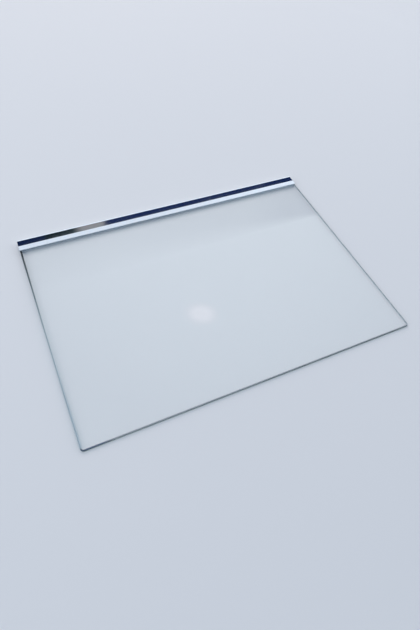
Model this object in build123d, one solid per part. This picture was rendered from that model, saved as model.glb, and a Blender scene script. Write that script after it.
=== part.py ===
from build123d import *
import os

# Fridge glass shelf: a clear toughened pane, with a white extruded trim pushed on to its front
# edge and a mirror-bright strip let into the top of the trim's nose.
# Millimetres. X runs across the shelf, the trim is at -Y, the bare rear edge at +Y, and +Z is up.
# The origin is under the middle of the shelf, level with the underside of the trim.

# Pane
SHELF_WIDTH = 470.0
PANE_DEPTH = 328.4
PANE_THICKNESS = 4.0
PANE_CORNER_RADIUS = 4.0
PANE_EDGE_FLAT = 1.0

# Channel that grips the front edge of the pane
CHANNEL_DEPTH = 7.8
FLANGE_THICKNESS = 1.2
GRIP_RIB_WIDTH = 2.2
GRIP_RIB_HEIGHT = 0.3
FLANGE_TIP_RADIUS = 0.5
CHANNEL_MOUTH_CHAMFER = 0.3
WEB_THICKNESS = 1.6

# Hollow nose in front of the channel
NOSE_WALL = 1.4
NOSE_TOE_RADIUS = 2.4
CHAMBER_CORNER_RADIUS = 0.7
FRONT_LIP_WIDTH = 2.0
FRONT_LIP_RADIUS = 0.6

# Bright strip, and the groove that it lies in
STRIP_WIDTH = 10.2
STRIP_THICKNESS = 0.7
STRIP_EDGE_RADIUS = 0.15
STRIP_RECESS = 0.1
STRIP_SIDE_CLEARANCE = 0.05

# The pane's edges are ground round down to the flat
PANE_EDGE_RADIUS = (PANE_THICKNESS - PANE_EDGE_FLAT) / 2

# The white band left over the glass ends where the groove begins, over the middle of the web
GROOVE_WIDTH = STRIP_WIDTH + 2 * STRIP_SIDE_CLEARANCE
WHITE_BAND_WIDTH = CHANNEL_DEPTH + WEB_THICKNESS / 2
TRIM_DEPTH = WHITE_BAND_WIDTH + GROOVE_WIDTH + FRONT_LIP_WIDTH

# Places along Y, from the front of the nose to the bare rear edge of the pane
SHELF_DEPTH = TRIM_DEPTH - CHANNEL_DEPTH + PANE_DEPTH
TRIM_FRONT = -SHELF_DEPTH / 2
GROOVE_FRONT = TRIM_FRONT + FRONT_LIP_WIDTH
GROOVE_REAR = GROOVE_FRONT + GROOVE_WIDTH
TRIM_REAR = TRIM_FRONT + TRIM_DEPTH
PANE_FRONT = TRIM_REAR - CHANNEL_DEPTH
PANE_REAR = PANE_FRONT + PANE_DEPTH
WEB_FRONT = PANE_FRONT - WEB_THICKNESS

# Heights, from the underside of the trim
PANE_BOTTOM = FLANGE_THICKNESS + GRIP_RIB_HEIGHT
PANE_TOP = PANE_BOTTOM + PANE_THICKNESS
TRIM_TOP = PANE_TOP + GRIP_RIB_HEIGHT + FLANGE_THICKNESS
GROOVE_FLOOR = TRIM_TOP - STRIP_RECESS - STRIP_THICKNESS


def rectangle(y_low, y_high, z_low, z_high):
    """A filled rectangle in the section plane, where x is the shelf's Y and y is its Z."""
    middle = ((y_low + y_high) / 2, (z_low + z_high) / 2)
    return Pos(*middle) * Rectangle(y_high - y_low, z_high - z_low)


def corner_at(sketch, y, z):
    """The corner of a section that stands at (y, z)."""
    return sketch.vertices().sort_by_distance(Vector(y, z))[0]


def extrude_across(section):
    """A section carried across the full width of the shelf, centred on the origin."""
    return extrude(Plane.YZ * section, amount=SHELF_WIDTH / 2, both=True)


def glass_pane():
    """One sheet of glass: corners rounded in plan, edges ground round with a narrow flat between."""
    plan = RectangleRounded(SHELF_WIDTH, PANE_DEPTH, PANE_CORNER_RADIUS)
    middle = Pos(0, (PANE_FRONT + PANE_REAR) / 2, PANE_BOTTOM)
    sheet = middle * extrude(plan, amount=PANE_THICKNESS)
    rims = sheet.faces().filter_by(Axis.Z).edges()
    return fillet(rims, PANE_EDGE_RADIUS)


def nose_outline():
    """Outside of the trim's section: a rounded toe, a small lip at the front and soft flange tips."""
    outline = rectangle(TRIM_FRONT, TRIM_REAR, 0, TRIM_TOP)
    outline = fillet(corner_at(outline, TRIM_FRONT, 0), NOSE_TOE_RADIUS)
    outline = fillet(corner_at(outline, TRIM_FRONT, TRIM_TOP), FRONT_LIP_RADIUS)
    for z in (0, TRIM_TOP):
        outline = fillet(corner_at(outline, TRIM_REAR, z), FLANGE_TIP_RADIUS)
    return outline


def channel_void():
    """Slot that the glass fills, eased at its mouth and relieved between its two pairs of grip ribs."""
    slot = rectangle(PANE_FRONT, TRIM_REAR, PANE_BOTTOM, PANE_TOP)
    ease = CHANNEL_MOUTH_CHAMFER
    mouth = Polygon(
        (TRIM_REAR - ease, PANE_BOTTOM),
        (TRIM_REAR, PANE_BOTTOM - ease),
        (TRIM_REAR, PANE_TOP + ease),
        (TRIM_REAR - ease, PANE_TOP),
        align=None,
    )
    relief = rectangle(
        PANE_FRONT + GRIP_RIB_WIDTH,
        TRIM_REAR - GRIP_RIB_WIDTH,
        PANE_BOTTOM - GRIP_RIB_HEIGHT,
        PANE_TOP + GRIP_RIB_HEIGHT,
    )
    return slot + mouth + relief


def chamber_void():
    """Hollow of the nose, with its walls all round and rounded inner corners."""
    hollow = rectangle(TRIM_FRONT + NOSE_WALL, WEB_FRONT, NOSE_WALL, GROOVE_FLOOR - NOSE_WALL)
    return fillet(hollow.vertices(), CHAMBER_CORNER_RADIUS)


def front_trim():
    """White extrusion: glass channel at the back, hollow nose at the front, groove along the top."""
    groove = rectangle(GROOVE_FRONT, GROOVE_REAR, GROOVE_FLOOR, TRIM_TOP)
    return extrude_across(nose_outline() - channel_void() - chamber_void() - groove)


def chrome_strip():
    """Bright strip seated on the floor of the groove, its two upper edges eased."""
    front = GROOVE_FRONT + STRIP_SIDE_CLEARANCE
    top = GROOVE_FLOOR + STRIP_THICKNESS
    section = rectangle(front, front + STRIP_WIDTH, GROOVE_FLOOR, top)
    for y in (front, front + STRIP_WIDTH):
        section = fillet(corner_at(section, y, top), STRIP_EDGE_RADIUS)
    return extrude_across(section)


os.makedirs("parts", exist_ok=True)
for piece in (glass_pane, front_trim, chrome_strip):
    export_step(piece(), f"parts/{piece.__name__}.step")
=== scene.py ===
import math

import bpy
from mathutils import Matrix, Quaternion, Vector


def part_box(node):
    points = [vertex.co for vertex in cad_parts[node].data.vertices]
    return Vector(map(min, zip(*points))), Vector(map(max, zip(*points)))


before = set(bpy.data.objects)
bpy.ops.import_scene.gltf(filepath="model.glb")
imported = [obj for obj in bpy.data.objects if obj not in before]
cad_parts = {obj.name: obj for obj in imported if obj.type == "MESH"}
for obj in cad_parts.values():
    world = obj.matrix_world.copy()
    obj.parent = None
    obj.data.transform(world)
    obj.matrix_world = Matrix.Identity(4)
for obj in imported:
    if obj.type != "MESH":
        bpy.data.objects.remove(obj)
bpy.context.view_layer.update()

# A fridge shelf of clear glass lies on a pale surface, seen from behind and above, so that its
# white front trim with the bright strip is the far edge. Metres, in the frame of the part:
# the trim is at -Y, the bare rear edge of the glass at +Y, and +Z is up. Colours are linear.

PANE_LOW, PANE_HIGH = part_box("glass_pane")
TRIM_LOW, TRIM_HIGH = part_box("front_trim")
STRIP_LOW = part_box("chrome_strip")[0]

# The photographed view: place, the point that the middle of the picture shows, and the roll
CAMERA_PLACE = Vector((0.21796, 0.36942, 0.52322))
CAMERA_AIM = Vector((0.02308, 0.05306, 0.0055))
CAMERA_ROLL = math.radians(8.615)
CAMERA_CLIP = 0.01
PICTURE_LONG_SIDE_PX = 630
FOCAL_LENGTH_PX = 463.75
SENSOR_MM = 36

# Air: its bluish light on the floor and the shelf comes mostly from the front, and the picture
# shows it in tones of its own, as pale as the floor
AIR_FRONT = (0.562, 0.698, 0.87, 1)
AIR_REAR = (0.09, 0.15, 0.22, 1)
SEEN_FRONT = (0.70, 0.74, 0.82, 1)
SEEN_REAR = (0.485, 0.54, 0.62, 1)

# What mirrors and glass show of the air: the seen tone at the horizon, a plain one above it that
# darkens to the rear, and overhead a darker one that brightens to one side. The spans say how
# each comes in: by a direction's Z, by its Y, or by how near it is to the bright side
AIR_MIRRORED = (0.78, 0.85, 0.92, 1)
AIR_DUSK = (0.16, 0.18, 0.22, 1)
AIR_OVERHEAD = (0.475, 0.50, 0.57, 1)
AIR_BY_LAMP = (0.90, 0.98, 1.04, 1)
BRIGHT_SIDE = Vector((-0.37, -0.656, 0.659))
HORIZON_SPAN = (0.04, 0.2)
DUSK_SPAN = (0.2, 0.75)
OVERHEAD_SPAN = (0.35, 0.6)
BRIGHT_SIDE_SPAN = (0.9, 1.0)

# Lamps: a large warm one in front of the trim, and a cooler, weaker one low at each side
KEY_COLOUR = (1.0, 0.935, 0.88)
FILL_COLOUR = (0.86, 0.94, 1.0)

# The small round lamp that the glass mirrors, and how far out from its middle it stays even, as a
# share of its card
FAR_LAMP_PLACE = Vector((-1.131, -1.99, 3.27))
FAR_LAMP_COLOUR = (1.0, 0.87, 0.90, 1)
FAR_LAMP_STRENGTH = 1.80
FAR_LAMP_EVEN = 0.14

# Cards that the bright strip and the glass mirror, with the distance from the middle of a card to
# its edges before it is scaled
CARD_EDGE = 0.5
CARD_NAVY = (0.008, 0.021, 0.085, 1)
CARD_DEEP_NAVY = (0.005, 0.015, 0.058, 1)
CARD_BLACK = (0.008, 0.018, 0.022, 1)
CARD_DUSK = (0.03, 0.045, 0.052, 1)
CARD_GREY = (0.31, 0.31, 0.32, 1)
CARD_SHADE = (0.32, 0.35, 0.39, 1)
CARD_LIGHT_SHADE = (0.42, 0.46, 0.51, 1)
CARD_DIM_SHADE = (0.20, 0.23, 0.27, 1)

# Floor: a pale matt surface that is all there up to its near reach and gone at its far reach
FLOOR_GREY = (0.717, 0.696, 0.699, 1)
FLOOR_ROUGHNESS = 0.7
FLOOR_SHINE = 0.2
FLOOR_SIZE = 6
FLOOR_NEAR_REACH = 1.0
FLOOR_FAR_REACH = 2.6

# Trim and strip, with how far rubbing, drawing and smears show on them. The trim has a painted
# highlight on its lip and a painted sheen that grows towards its -X end
TRIM_WHITE = (0.755, 0.78, 0.82, 1)
TRIM_RUBBED = (0.70, 0.73, 0.77, 1)
TRIM_PAINTED_SHEEN = (0.90, 0.93, 0.97, 1)
TRIM_SHEEN_FROM_X = 0.02
TRIM_SHEEN_TO_X = -0.2
TRIM_SHEEN_SHARE = 0.8
TRIM_LIP_BLUR = 0.0001
TRIM_RUBBED_SHARE = 0.7
TRIM_DRAWN_SHARE = 0.15
TRIM_SKIN_SHARE = 0.4
TRIM_ROUGHNESS = (0.26, 0.42)
CHROME_BRIGHT = (0.84, 0.86, 0.89, 1)
CHROME_DULL = (0.74, 0.76, 0.79, 1)
CHROME_ROUGHNESS = (0.03, 0.06)
CHROME_SMEAR = 0.04

# Patterns: their fineness in repeats per metre, and the part of their range that counts
DIE_LINES = 900
POLISHING_LINES = 900
LINES_LENGTHWISE = 6
MARK_PATCHES = 14
MARK_STREAKS = (40, 160, 160)
GROUND_GRAIN = 2400
SKIN_GRAIN = 2400
NOISE_SPAN = (0.3, 0.7)
PATCH_SPAN = (0.48, 0.72)
STREAK_SPAN = (0.35, 0.7)

# Glass: index of soda-lime sheet, the green-blue that a long way through it leaves, and how rough
# its smeared faces and its ground edge are
GLASS_INDEX = 1.52
GLASS_TINT = (0.48, 0.90, 0.82, 1)
GLASS_TINT_PER_METRE = 4.5
GLASS_SMEAR = 0.015
GROUND_ROUGHNESS = (0.25, 0.45)

# Colours of the glass: clear faces with a margin of painted bluish shade inside the +X edge, a
# ground edge whose colour differs from side to side and grows lighter towards the rear, as painted
# light and shade, its lower part painted brighter and with a painted glow for the light that the
# sheet gathers, and painted shade along the +X edge by the trim
CLEAR = (1, 1, 1, 1)
# Painted bluish shade for a margin inside the +X edge
PAINTED_SHADE_MARGIN = (0.80, 0.86, 0.91, 1)
GROUND_REAR = (0.165, 0.195, 0.22, 1)
DARK_CORNER = (0.02, 0.035, 0.07, 1)
# Painted light and shade on the ground edge: each side has its own colour, lighter towards the rear
GROUND_PLUS_X = (0.33, 0.39, 0.42, 1)
PLUS_X_LIGHTER_REAR = (0.58, 0.64, 0.74, 1)
GROUND_MINUS_X = (0.17, 0.19, 0.215, 1)
MINUS_X_LIGHTER_REAR = (0.86, 0.92, 0.97, 1)
# Painted light: the lower flat of the edge is painted brighter
PAINTED_LIGHT_FLAT = (0.60, 0.78, 0.78, 1)
# Painted shade: the +X edge is painted nearly black near the trim
PAINTED_SHADE_BY_TRIM = (0.004, 0.006, 0.008, 1)
NO_GLOW = (0, 0, 0, 1)
# Painted glow on the lower flat of the edge, for the light that the sheet gathers
PAINTED_EDGE_GLOW = (0.034, 0.066, 0.062, 1)
PAINTED_LIGHT_SHARE_MINUS_X = 0.35

# How much light the glass lets through to the floor, by its faces and by each edge
THROUGH_FACE = (0.998, 1.0, 1.0, 1)
THROUGH_REAR = (0.52, 0.55, 0.56, 1)
THROUGH_PLUS_X = (0.22, 0.38, 0.42, 1)
THROUGH_MINUS_X = (0.40, 0.40, 0.43, 1)
# Near the trim the +X edge lets almost no light through, which darkens its shadow there
THROUGH_BY_TRIM = (0.02, 0.03, 0.04, 1)

# Places on the glass. Those round its edge are counted outwards: 0 is a corner radius inside the
# pane's outline, and the outline is at the corner radius
PANE_CORNER_RADIUS = 0.004
PANE_EDGE_RADIUS = 0.0015
EDGE_START = PANE_CORNER_RADIUS - PANE_EDGE_RADIUS
EDGE_BLUR = 0.00003
SIDE_FULL = PANE_CORNER_RADIUS - 0.0002
GLOW_FULL = EDGE_START + 0.0008
MARGIN_START = EDGE_START - 0.0022
MARGIN_FULL = EDGE_START - 0.0002
SHADE_BY_TRIM_WIDTH = 0.0011
SHADE_BY_TRIM_LENGTH = 0.15
PLUS_X_START = PANE_HIGH.x - 0.0045
PLUS_X_FULL = PANE_HIGH.x - 0.0035
MINUS_X_START = PANE_LOW.x + 0.003
MINUS_X_FULL = PANE_LOW.x + 0.002
REAR_CORNER_START = PANE_HIGH.y - 0.006
REAR_CORNER_FULL = PANE_HIGH.y - 0.003
DARK_CORNER_START = PANE_HIGH.x - 0.04
DARK_CORNER_FULL = PANE_HIGH.x - 0.025
PANE_MIDDLE = (PANE_LOW + PANE_HIGH) / 2
FLAT_TOP = PANE_MIDDLE.z + 0.0007
FLAT_FULL = PANE_MIDDLE.z + 0.0004


def add(tree, kind, **settings):
    """A new node of a tree, with its settings."""
    node = tree.nodes.new("ShaderNode" + kind)
    for name, value in settings.items():
        setattr(node, name, value)
    return node


def feed(tree, value, socket):
    """Gives a socket its value: a link from another socket, or a constant."""
    if isinstance(value, bpy.types.NodeSocket):
        tree.links.new(value, socket)
    else:
        socket.default_value = value


def new_material(name):
    """An empty node material, with its tree and output node."""
    material = bpy.data.materials.new(name)
    material.use_nodes = True
    material.node_tree.nodes.clear()
    return material, material.node_tree, add(material.node_tree, "OutputMaterial")


def dress(node_name, material):
    """Gives a CAD node its finish, in every material slot it came with."""
    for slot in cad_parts[node_name].material_slots:
        slot.material = material


def place_on_object(tree):
    """The point of the object that is being shaded, in metres."""
    return add(tree, "TexCoord").outputs["Object"]


def split_place(tree, place):
    """The three coordinates of a place."""
    node = add(tree, "SeparateXYZ")
    tree.links.new(place, node.inputs[0])
    return node.outputs


def vector_step(tree, operation, first, second=None):
    """One step of vector arithmetic. A length or a dot product comes out as a value."""
    node = add(tree, "VectorMath", operation=operation)
    feed(tree, first, node.inputs[0])
    if second is not None:
        feed(tree, second, node.inputs[1])
    return node.outputs["Value" if operation in ("LENGTH", "DOT_PRODUCT") else "Vector"]


def value_step(tree, operation, first, second):
    """One step of arithmetic on two values."""
    node = add(tree, "Math", operation=operation)
    feed(tree, first, node.inputs[0])
    feed(tree, second, node.inputs[1])
    return node.outputs[0]


def overlap(tree, first, second):
    """Where two masks both hold."""
    return value_step(tree, "MULTIPLY", first, second)


def spread(tree, source, low, high, to_low=0.0, to_high=1.0, shape="LINEAR"):
    """Stretches the part of a value between low and high over a new span."""
    node = add(tree, "MapRange", interpolation_type=shape)
    feed(tree, source, node.inputs["Value"])
    feed(tree, low, node.inputs["From Min"])
    feed(tree, high, node.inputs["From Max"])
    feed(tree, to_low, node.inputs["To Min"])
    feed(tree, to_high, node.inputs["To Max"])
    return node.outputs["Result"]


def colour_mix(tree, factor, low, high):
    """A colour that goes from low to high with a factor."""
    node = add(tree, "Mix", data_type="RGBA")
    feed(tree, factor, node.inputs["Factor"])
    feed(tree, low, node.inputs[6])
    feed(tree, high, node.inputs[7])
    return node.outputs[2]


def shader_mix(tree, factor, low, high):
    """A shader that goes from low to high with a factor."""
    node = add(tree, "MixShader")
    feed(tree, factor, node.inputs[0])
    tree.links.new(low.outputs[0], node.inputs[1])
    tree.links.new(high.outputs[0], node.inputs[2])
    return node


def noise(tree, place, **settings):
    """A cloudy pattern over a place."""
    node = add(tree, "TexNoise")
    tree.links.new(place, node.inputs["Vector"])
    for label, value in settings.items():
        feed(tree, value, node.inputs[label])
    return node.outputs["Fac"]


def bump(tree, shader, height, strength, distance):
    """Raises a shader's surface by a height."""
    node = add(tree, "Bump")
    node.inputs["Strength"].default_value = strength
    node.inputs["Distance"].default_value = distance
    tree.links.new(height, node.inputs["Height"])
    tree.links.new(node.outputs[0], shader.inputs["Normal"])


def new_group(name):
    """An empty node group that puts out one value, and the values that it is given."""
    tree = bpy.data.node_groups.new(name, "ShaderNodeTree")
    for label in ("Fineness", "Low", "High"):
        tree.interface.new_socket(label, in_out="INPUT", socket_type="NodeSocketFloat")
    tree.interface.new_socket("Value", in_out="OUTPUT", socket_type="NodeSocketFloat")
    return tree, tree.nodes.new("NodeGroupInput").outputs


def close_group(tree, given, mask):
    """Ends a node group: its mask comes out as a value from Low to High."""
    out = tree.nodes.new("NodeGroupOutput")
    tree.links.new(spread(tree, mask, 0.0, 1.0, given["Low"], given["High"]), out.inputs["Value"])
    return tree


def from_group(tree, group, fineness, low, high):
    """What a node group puts out in a material, with that material's own values."""
    node = add(tree, "Group", node_tree=group)
    node.inputs["Fineness"].default_value = fineness
    node.inputs["Low"].default_value = low
    node.inputs["High"].default_value = high
    return node.outputs["Value"]


def lengthwise_lines():
    """Fine lines along X, as drawing through a die or polishing along the length leaves them."""
    tree, given = new_group("lengthwise_lines")
    repeats = add(tree, "CombineXYZ")
    repeats.inputs["X"].default_value = LINES_LENGTHWISE
    tree.links.new(given["Fineness"], repeats.inputs["Y"])
    tree.links.new(given["Fineness"], repeats.inputs["Z"])
    stretched = vector_step(tree, "MULTIPLY", place_on_object(tree), repeats.outputs[0])
    lines = noise(tree, stretched, Scale=1.0, Detail=3.0, Roughness=0.6)
    return close_group(tree, given, spread(tree, lines, *NOISE_SPAN))


def handling_marks():
    """Faint smears where a shelf is taken hold of and wiped."""
    tree, given = new_group("handling_marks")
    place = place_on_object(tree)
    cloud = noise(tree, place, Scale=given["Fineness"], Detail=4.0, Distortion=0.8)
    wiped = vector_step(tree, "MULTIPLY", place, MARK_STREAKS)
    streak = noise(tree, wiped, Scale=1.0, Detail=3.0)
    patches = spread(tree, cloud, *PATCH_SPAN)
    streaks = spread(tree, streak, *STREAK_SPAN)
    return close_group(tree, given, overlap(tree, patches, streaks))


def fine_grain():
    """A grain of a few tenths of a millimetre, for ground glass and the skin of the plastic."""
    tree, given = new_group("fine_grain")
    grain = noise(tree, place_on_object(tree), Scale=given["Fineness"], Detail=2.0)
    return close_group(tree, given, spread(tree, grain, *NOISE_SPAN))


def rim_reach(tree):
    """How far a point of the pane lies outside a core that is a corner radius inside its outline."""
    half = (PANE_HIGH - PANE_LOW) / 2
    core = half - Vector((PANE_CORNER_RADIUS, PANE_CORNER_RADIUS, 0))
    from_middle = vector_step(tree, "SUBTRACT", place_on_object(tree), PANE_MIDDLE)
    folded = vector_step(tree, "ABSOLUTE", from_middle)
    past_core = vector_step(tree, "SUBTRACT", folded, core)
    outside = vector_step(tree, "MAXIMUM", past_core, (0, 0, 0))
    return vector_step(tree, "LENGTH", outside)


def pane_masks(tree):
    """Masks of the places on the pane that have a look of their own."""
    along = split_place(tree, place_on_object(tree))
    reach = rim_reach(tree)
    mask = {}
    off_corner = spread(tree, along["Y"], REAR_CORNER_FULL, REAR_CORNER_START)
    plus_x = spread(tree, along["X"], PLUS_X_START, PLUS_X_FULL)
    mask["plus_x"] = overlap(tree, plus_x, off_corner)
    mask["minus_x"] = spread(tree, along["X"], MINUS_X_START, MINUS_X_FULL)
    mask["rear_half"] = spread(tree, along["Y"], 0.0, PANE_HIGH.y)
    mask["rearward"] = spread(tree, along["Y"], TRIM_HIGH.y, PANE_HIGH.y)
    mask["by_trim"] = spread(tree, along["Y"], TRIM_HIGH.y + SHADE_BY_TRIM_LENGTH, TRIM_HIGH.y)
    mask["dark_corner"] = spread(tree, along["X"], DARK_CORNER_START, DARK_CORNER_FULL)
    # Painted shade along the +X edge near the trim, which also widens the dark edge inwards there
    mask["grime"] = overlap(tree, mask["plus_x"], mask["by_trim"])
    widened = value_step(tree, "ADD", reach, overlap(tree, mask["grime"], SHADE_BY_TRIM_WIDTH))
    mask["ground"] = spread(tree, widened, EDGE_START - EDGE_BLUR, EDGE_START + EDGE_BLUR)
    mask["side"] = spread(tree, reach, EDGE_START, SIDE_FULL)
    # The lower flat of the edge, which gets painted light and a painted glow
    low_down = spread(tree, along["Z"], FLAT_TOP, FLAT_FULL)
    share = spread(tree, mask["minus_x"], 0.0, 1.0, 1.0, PAINTED_LIGHT_SHARE_MINUS_X)
    mask["flat"] = overlap(tree, low_down, share)
    mask["glow"] = overlap(tree, mask["flat"], spread(tree, reach, EDGE_START, GLOW_FULL))
    # Painted bluish shade in a margin inside the +X edge, over the rear half
    margin = spread(tree, reach, MARGIN_START, MARGIN_FULL)
    mask["margin"] = overlap(tree, overlap(tree, margin, mask["plus_x"]), mask["rear_half"])
    return mask


def pane_colour(tree, mask):
    """Clear faces with a painted shade margin, and the ground edge with its painted light and shade."""
    # Painted light and shade: each side of the edge has its own colour, lighter towards the rear
    plus_x = colour_mix(tree, mask["rear_half"], GROUND_PLUS_X, PLUS_X_LIGHTER_REAR)
    minus_x = colour_mix(tree, mask["rearward"], GROUND_MINUS_X, MINUS_X_LIGHTER_REAR)
    edge = colour_mix(tree, mask["dark_corner"], GROUND_REAR, DARK_CORNER)
    edge = colour_mix(tree, mask["minus_x"], edge, minus_x)
    edge = colour_mix(tree, mask["plus_x"], edge, plus_x)
    # Painted light on the lower flat of the edge
    edge = colour_mix(tree, mask["flat"], edge, PAINTED_LIGHT_FLAT)
    # Painted shade near the trim
    edge = colour_mix(tree, mask["grime"], edge, PAINTED_SHADE_BY_TRIM)
    # Painted shade in the margin
    face = colour_mix(tree, mask["margin"], CLEAR, PAINTED_SHADE_MARGIN)
    return colour_mix(tree, mask["ground"], face, edge)


def pane_passes(tree, mask):
    """The share of light that goes straight through the pane."""
    # Near the trim the +X edge lets almost no light through
    plus_x = colour_mix(tree, mask["by_trim"], THROUGH_PLUS_X, THROUGH_BY_TRIM)
    edge = colour_mix(tree, mask["plus_x"], THROUGH_REAR, plus_x)
    edge = colour_mix(tree, mask["minus_x"], edge, THROUGH_MINUS_X)
    return colour_mix(tree, mask["side"], THROUGH_FACE, edge)


def clear_glass(marks, grain):
    """Clear sheet glass with a ground edge. Lamps and the floor light each other straight through it."""
    material, tree, out = new_material("clear_glass")
    mask = pane_masks(tree)
    glass = add(tree, "BsdfPrincipled")
    glass.inputs["IOR"].default_value = GLASS_INDEX
    glass.inputs["Transmission Weight"].default_value = 1.0
    glass.inputs["Emission Strength"].default_value = 1.0
    tree.links.new(pane_colour(tree, mask), glass.inputs["Base Color"])
    # Painted glow on the lower flat of the edge, for the light that the sheet gathers
    tree.links.new(colour_mix(tree, mask["glow"], NO_GLOW, PAINTED_EDGE_GLOW), glass.inputs["Emission Color"])
    rough = add(tree, "Mix")
    tree.links.new(mask["ground"], rough.inputs["Factor"])
    tree.links.new(from_group(tree, marks, MARK_PATCHES, 0.0, GLASS_SMEAR), rough.inputs["A"])
    tree.links.new(from_group(tree, grain, GROUND_GRAIN, *GROUND_ROUGHNESS), rough.inputs["B"])
    tree.links.new(rough.outputs["Result"], glass.inputs["Roughness"])
    through = add(tree, "BsdfTransparent")
    tree.links.new(pane_passes(tree, mask), through.inputs["Color"])
    path = add(tree, "LightPath").outputs
    bounced = shader_mix(tree, path["Is Diffuse Ray"], glass, through)
    lit = shader_mix(tree, path["Is Shadow Ray"], bounced, through)
    tree.links.new(lit.outputs[0], out.inputs["Surface"])
    tint = add(tree, "VolumeAbsorption")
    tint.inputs["Color"].default_value = GLASS_TINT
    tint.inputs["Density"].default_value = GLASS_TINT_PER_METRE
    tree.links.new(tint.outputs[0], out.inputs["Volume"])
    return material


def white_plastic(lines, marks, grain):
    """Extruded white plastic: die lines, a fine skin, rubbed places, painted highlight and sheen."""
    material, tree, out = new_material("white_plastic")
    plastic = add(tree, "BsdfPrincipled")
    rubbed = from_group(tree, marks, MARK_PATCHES, 0.0, TRIM_RUBBED_SHARE)
    drawn = from_group(tree, lines, DIE_LINES, 0.0, TRIM_DRAWN_SHARE)
    white = colour_mix(tree, value_step(tree, "ADD", rubbed, drawn), TRIM_WHITE, TRIM_RUBBED)
    along = split_place(tree, place_on_object(tree))
    # Painted highlight on the lip and painted sheen growing towards the -X end
    on_lip = spread(tree, along["Y"], STRIP_LOW.y + TRIM_LIP_BLUR, STRIP_LOW.y)
    to_minus_x = spread(tree, along["X"], TRIM_SHEEN_FROM_X, TRIM_SHEEN_TO_X, 0.0, TRIM_SHEEN_SHARE)
    painted_sheen = value_step(tree, "MAXIMUM", on_lip, to_minus_x)
    tree.links.new(colour_mix(tree, painted_sheen, white, TRIM_PAINTED_SHEEN), plastic.inputs["Base Color"])
    rough = from_group(tree, marks, MARK_PATCHES, *TRIM_ROUGHNESS)
    tree.links.new(rough, plastic.inputs["Roughness"])
    die_lines = from_group(tree, lines, DIE_LINES, 0.0, 1.0)
    skin = from_group(tree, grain, SKIN_GRAIN, 0.0, TRIM_SKIN_SHARE)
    height = value_step(tree, "ADD", die_lines, skin)
    bump(tree, plastic, height, strength=0.25, distance=0.00004)
    tree.links.new(plastic.outputs[0], out.inputs["Surface"])
    return material


def bright_chrome(lines, marks):
    """Mirror-bright strip with lengthwise polishing lines and faint smears."""
    material, tree, out = new_material("bright_chrome")
    chrome = add(tree, "BsdfPrincipled")
    chrome.inputs["Metallic"].default_value = 1.0
    polish = from_group(tree, lines, POLISHING_LINES, 0.0, 1.0)
    tree.links.new(colour_mix(tree, polish, CHROME_BRIGHT, CHROME_DULL), chrome.inputs["Base Color"])
    smeared = from_group(tree, marks, MARK_PATCHES, 0.0, CHROME_SMEAR)
    polished = from_group(tree, lines, POLISHING_LINES, *CHROME_ROUGHNESS)
    tree.links.new(value_step(tree, "ADD", smeared, polished), chrome.inputs["Roughness"])
    bump(tree, chrome, polish, strength=0.3, distance=0.00001)
    tree.links.new(chrome.outputs[0], out.inputs["Surface"])
    return material


def floor_finish():
    """A pale matt surface that fades into the air round it."""
    material, tree, out = new_material("pale_surface")
    paint = add(tree, "BsdfPrincipled")
    paint.inputs["Base Color"].default_value = FLOOR_GREY
    paint.inputs["Roughness"].default_value = FLOOR_ROUGHNESS
    paint.inputs["Specular IOR Level"].default_value = FLOOR_SHINE
    reach = vector_step(tree, "LENGTH", place_on_object(tree))
    faded = spread(tree, reach, FLOOR_NEAR_REACH, FLOOR_FAR_REACH)
    mix = shader_mix(tree, faded, paint, add(tree, "BsdfTransparent"))
    tree.links.new(mix.outputs[0], out.inputs["Surface"])
    return material


def banded_finish(name, bands, thin_from=None, thin_slope=0.0):
    """Shines in bands of colour along its own X, from 0 at one end to 1 at the other.

    It may thin out upwards, from a slanting line to its upper edge."""
    material, tree, out = new_material(name)
    across = split_place(tree, place_on_object(tree))
    ramp = add(tree, "ValToRGB")
    while len(ramp.color_ramp.elements) < len(bands):
        ramp.color_ramp.elements.new(0.5)
    for element, (position, colour) in zip(ramp.color_ramp.elements, bands):
        element.position = position
        element.color = colour
    tree.links.new(value_step(tree, "ADD", across["X"], CARD_EDGE), ramp.inputs["Fac"])
    shown = add(tree, "Emission")
    tree.links.new(ramp.outputs["Color"], shown.inputs["Color"])
    if thin_from is not None:
        slant = value_step(tree, "MULTIPLY", across["X"], thin_slope)
        line = value_step(tree, "ADD", slant, thin_from)
        thinned = spread(tree, across["Y"], line, CARD_EDGE)
        shown = shader_mix(tree, thinned, shown, add(tree, "BsdfTransparent"))
    tree.links.new(shown.outputs[0], out.inputs["Surface"])
    return material


def spot_finish(name):
    """A round soft light, even in the middle and clear at the edge."""
    material, tree, out = new_material(name)
    glow = add(tree, "Emission")
    glow.inputs["Color"].default_value = FAR_LAMP_COLOUR
    glow.inputs["Strength"].default_value = FAR_LAMP_STRENGTH
    reach = vector_step(tree, "LENGTH", place_on_object(tree))
    faded = spread(tree, reach, FAR_LAMP_EVEN, CARD_EDGE, shape="SMOOTHSTEP")
    mix = shader_mix(tree, faded, glow, add(tree, "BsdfTransparent"))
    tree.links.new(mix.outputs[0], out.inputs["Surface"])
    return material


def floor():
    """The surface that the shelf lies on: it touches the trim and the rear lower edge of the glass."""
    slope = math.atan2(PANE_LOW.z - TRIM_LOW.z, PANE_HIGH.y - TRIM_HIGH.y)
    place = (0, TRIM_HIGH.y, TRIM_LOW.z)
    bpy.ops.mesh.primitive_plane_add(size=FLOOR_SIZE, location=place, rotation=(slope, 0, 0))
    plane = bpy.context.active_object
    plane.name = "floor"
    plane.data.materials.append(floor_finish())


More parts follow.
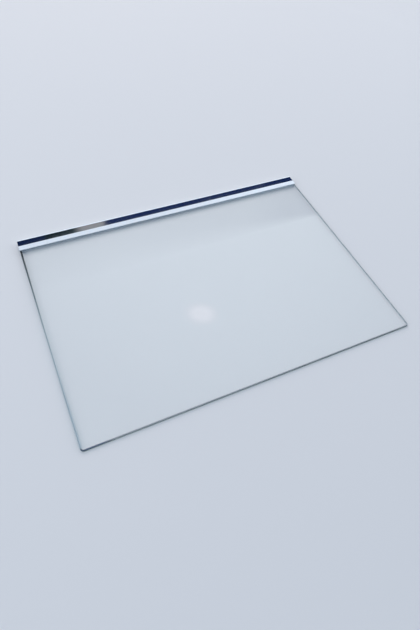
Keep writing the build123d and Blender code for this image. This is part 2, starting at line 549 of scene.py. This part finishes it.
def card(finish, width, height, place, turn):
    """A card that only mirrors and glass show."""
    bpy.ops.mesh.primitive_plane_add(size=1, location=place, rotation=turn)
    plane = bpy.context.active_object
    plane.name = finish.name
    plane.scale = (width, height, 1)
    plane.data.materials.append(finish)
    plane.visible_camera = False
    plane.visible_diffuse = False
    plane.visible_shadow = False


def lamp(name, colour, bearing, elevation, distance, size, watts):
    """A square soft lamp that mirrors don't show. Its bearing is from -Y towards -X, in degrees."""
    light = bpy.data.lights.new(name, "AREA")
    light.size = size
    light.energy = watts
    light.color = colour
    holder = bpy.data.objects.new(name, light)
    turn = math.radians(bearing)
    rise = math.radians(elevation)
    level = math.cos(rise)
    towards = Vector((-level * math.sin(turn), -level * math.cos(turn), math.sin(rise)))
    holder.location = towards * distance
    holder.rotation_mode = "QUATERNION"
    holder.rotation_quaternion = towards.to_track_quat("Z", "Y")
    holder.visible_camera = False
    holder.visible_glossy = False
    holder.visible_transmission = False
    bpy.context.scene.collection.objects.link(holder)


def studio_air():
    """Light from all round, with one look in the picture and another in mirrors and glass."""
    world = bpy.data.worlds.new("studio_air")
    world.use_nodes = True
    tree = world.node_tree
    direction = add(tree, "TexCoord").outputs["Generated"]
    along = split_place(tree, direction)
    path = add(tree, "LightPath").outputs
    rearward = spread(tree, along["Y"], -1.0, 1.0)
    around = colour_mix(tree, rearward, AIR_FRONT, AIR_REAR)
    seen = colour_mix(tree, rearward, SEEN_FRONT, SEEN_REAR)
    plain = colour_mix(tree, path["Is Camera Ray"], around, seen)
    towards_lamp = vector_step(tree, "DOT_PRODUCT", direction, BRIGHT_SIDE)
    by_lamp = spread(tree, towards_lamp, *BRIGHT_SIDE_SPAN)
    overhead = colour_mix(tree, by_lamp, AIR_OVERHEAD, AIR_BY_LAMP)
    above = colour_mix(tree, spread(tree, along["Y"], *DUSK_SPAN), AIR_MIRRORED, AIR_DUSK)
    above = colour_mix(tree, spread(tree, along["Z"], *HORIZON_SPAN), seen, above)
    mirrored = colour_mix(tree, spread(tree, along["Z"], *OVERHEAD_SPAN), above, overhead)
    mirror = value_step(tree, "MAXIMUM", path["Is Glossy Ray"], path["Is Transmission Ray"])
    tree.links.new(colour_mix(tree, mirror, plain, mirrored), tree.nodes["Background"].inputs["Color"])
    bpy.context.scene.world = world


def photo_camera():
    """The camera of the photographed view."""
    data = bpy.data.cameras.new("camera")
    data.sensor_width = SENSOR_MM
    data.lens = FOCAL_LENGTH_PX * SENSOR_MM / PICTURE_LONG_SIDE_PX
    data.clip_start = CAMERA_CLIP
    camera = bpy.data.objects.new("camera", data)
    camera.location = CAMERA_PLACE
    camera.rotation_mode = "QUATERNION"
    level = (CAMERA_AIM - CAMERA_PLACE).to_track_quat("-Z", "Y")
    camera.rotation_quaternion = level @ Quaternion((0, 0, 1), CAMERA_ROLL)
    bpy.context.scene.collection.objects.link(camera)
    bpy.context.scene.camera = camera


# Finishes
line_group = lengthwise_lines()
mark_group = handling_marks()
grain_group = fine_grain()
dress("glass_pane", clear_glass(mark_group, grain_group))
dress("front_trim", white_plastic(line_group, mark_group, grain_group))
dress("chrome_strip", bright_chrome(line_group, mark_group))

# Cards beyond the trim: a shaded one that thins out upwards, for the glass, a dark one before it
# and a patch of black and grey on that, for the strip, and a lamp
shade_bands = (
    (0.355, CARD_NAVY),
    (0.42, CARD_SHADE),
    (0.61, CARD_LIGHT_SHADE),
    (0.70, CARD_DIM_SHADE),
)
navy_bands = (
    (0.0, AIR_MIRRORED),
    (0.25, CARD_NAVY),
    (0.65, CARD_NAVY),
    (1.0, AIR_MIRRORED),
)
patch_bands = (
    (0.11, CARD_NAVY),
    (0.15, CARD_GREY),
    (0.35, CARD_GREY),
    (0.43, CARD_DUSK),
    (0.54, CARD_BLACK),
    (0.67, CARD_BLACK),
    (0.72, CARD_DEEP_NAVY),
)
shade = banded_finish("shade_card", shade_bands, thin_from=0.39, thin_slope=-0.40)
navy = banded_finish("navy_card", navy_bands)
patch = banded_finish("banded_card", patch_bands)
upright = (math.radians(90), 0, 0)
facing_shelf = FAR_LAMP_PLACE.to_track_quat("Z", "Y").to_euler()
card(shade, width=6.0, height=2.3, place=(-0.95, -2.0, 1.15), turn=upright)
card(navy, width=6.0, height=1.83, place=(-0.95, -1.995, 0.915), turn=upright)
card(patch, width=0.72, height=0.13, place=(-0.02, -1.99, 1.765), turn=upright)
card(spot_finish("far_lamp"), width=0.42, height=0.29, place=FAR_LAMP_PLACE, turn=facing_shelf)

# Floor, light and camera
floor()
lamp("key_light", KEY_COLOUR, bearing=8, elevation=48, distance=3.6, size=2.5, watts=65)
lamp("left_fill", FILL_COLOUR, bearing=-90, elevation=32, distance=3.0, size=1.4, watts=22)
lamp("right_fill", FILL_COLOUR, bearing=90, elevation=32, distance=3.0, size=1.4, watts=18)
studio_air()
photo_camera()
bpy.context.scene.view_settings.view_transform = "Standard"
